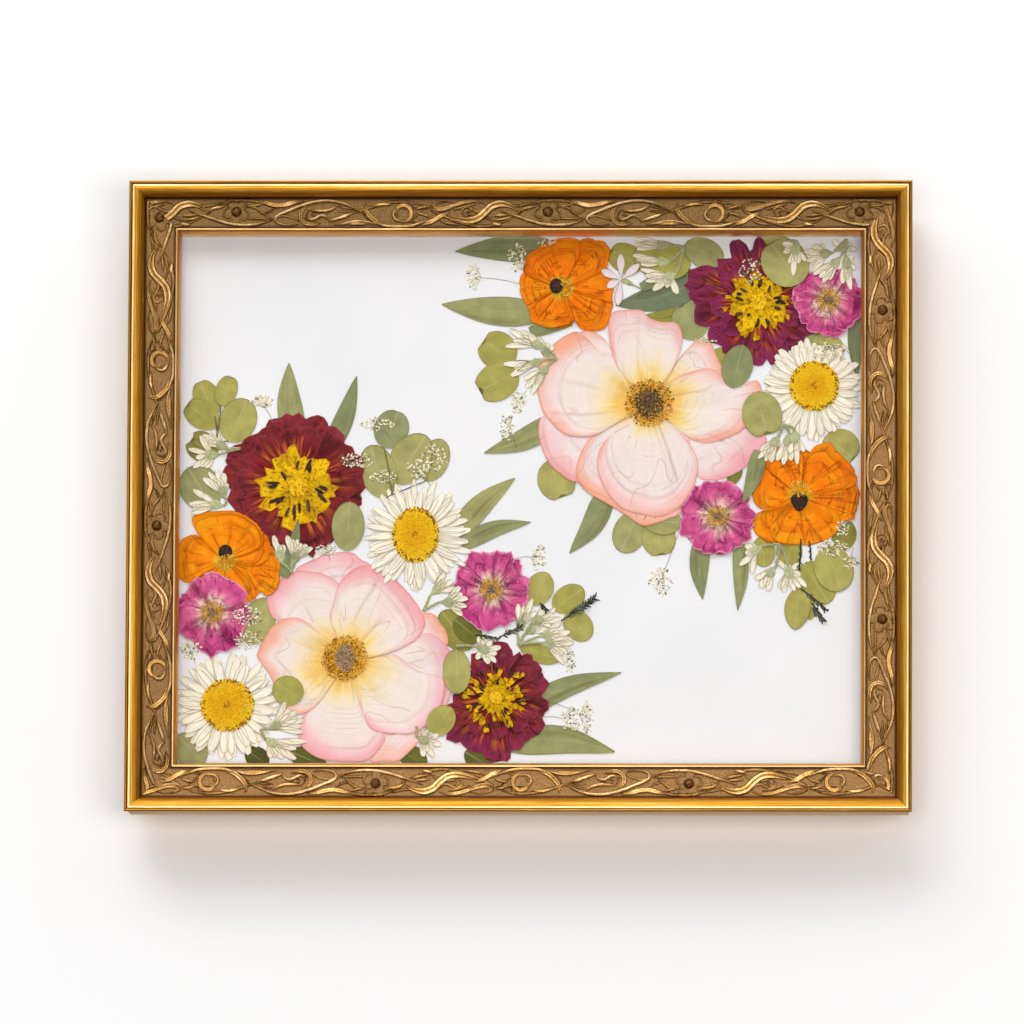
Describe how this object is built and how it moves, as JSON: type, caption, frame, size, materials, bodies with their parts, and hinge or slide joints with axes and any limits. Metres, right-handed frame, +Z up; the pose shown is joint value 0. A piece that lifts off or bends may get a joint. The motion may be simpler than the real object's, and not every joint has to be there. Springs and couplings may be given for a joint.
{
  "type": "pressed flower frame",
  "caption": "Wall-hung glazed picture frame with a gilded ornamental moulding, holding pressed flowers and leaves on a white linen-textured paper.",
  "frame": {"origin": "the point of the sawtooth hanger that bears on the wall nail, in the plane of the wall", "axes": "+Z up, +X to the viewer's right across the picture, +Y into the wall; the picture faces -Y"},
  "size_m": [0.3918, 0.03, 0.3185],
  "materials": {
    "gilt_wood": "warm antique gold leaf over wood and pressed composition ornament, brown patina in the ornament panel",
    "glass": "clear polished picture glass",
    "mount_paper": "white linen-textured paper",
    "backing_board": "brown kraft-faced backing board",
    "hanger_brass": "brass-plated pressed strip",
    "steel": "zinc-plated steel",
    "felt": "dense dark felt",
    "pink_petal": "dried thin petal, blush pink with peach rims and yellow base",
    "orange_petal": "dried thin petal, deep orange with fine dark veins",
    "magenta_petal": "dried thin petal, magenta with pale base",
    "burgundy_petal": "dried crinkled petal, burgundy",
    "white_petal": "dried thin ray petal, cream white",
    "dry_leaf": "dried leaf, matt sage to olive green"
  },
  "bodies": {
    "root": {"rail_top": "gilt_wood", "rail_bottom": "gilt_wood", "rail_left": "gilt_wood", "rail_right": "gilt_wood", "glass": "glass", "mount_paper": "mount_paper", "backing_board": "backing_board", "sawtooth_hanger": "hanger_brass", "hanger_nail_left": "steel", "hanger_nail_right": "steel", "tab_left": "steel", "tab_right": "steel", "tab_top": "steel", "tab_bottom": "steel", "bumper_left": "felt", "bumper_right": "felt", "pink_rose_left": "pink_petal", "pink_rose_right": "pink_petal", "orange_ranunculus_left": "orange_petal", "orange_ranunculus_top": "orange_petal", "orange_ranunculus_right": "orange_petal", "magenta_rose_left": "magenta_petal", "magenta_rose_middle": "magenta_petal", "magenta_rose_right": "magenta_petal", "magenta_rose_corner": "magenta_petal", "burgundy_bloom_left": "burgundy_petal", "burgundy_bloom_right": "burgundy_petal", "burgundy_bloom_bottom": "burgundy_petal", "daisy_left": "white_petal", "daisy_middle": "white_petal", "daisy_right": "white_petal", "lance_leaf_burgundy_up": "dry_leaf", "lance_leaf_burgundy_right": "dry_leaf", "lance_leaf_top_upper": "dry_leaf", "lance_leaf_top_lower": "dry_leaf", "lance_leaf_pink_left": "dry_leaf", "lance_leaf_blue": "dry_leaf", "lance_leaf_pink_bottom": "dry_leaf", "lance_leaf_magenta_left": "dry_leaf", "lance_leaf_magenta_right": "dry_leaf", "lance_leaf_corner": "dry_leaf", "lance_leaf_daisy_upper": "dry_leaf", "lance_leaf_daisy_lower": "dry_leaf", "lance_leaf_bottom_upper": "dry_leaf", "lance_leaf_bottom_lower": "dry_leaf", "round_leaf_grey": "dry_leaf", "round_leaf_magenta": "dry_leaf", "round_leaf_rose_left": "dry_leaf", "round_leaf_rose_right": "dry_leaf", "round_leaf_rose_foot": "dry_leaf", "round_leaf_top": "dry_leaf", "round_leaf_notched": "dry_leaf", "round_leaf_burgundy_foot": "dry_leaf", "round_leaf_daisy": "dry_leaf", "round_leaf_twig": "dry_leaf", "round_leaf_hanging": "dry_leaf", "leaf_twig_left": "dry_leaf", "leaf_twig_middle": "dry_leaf", "leaf_twig_rose": "dry_leaf", "leaf_twig_foot": "dry_leaf"}
  },
  "joints": []
}
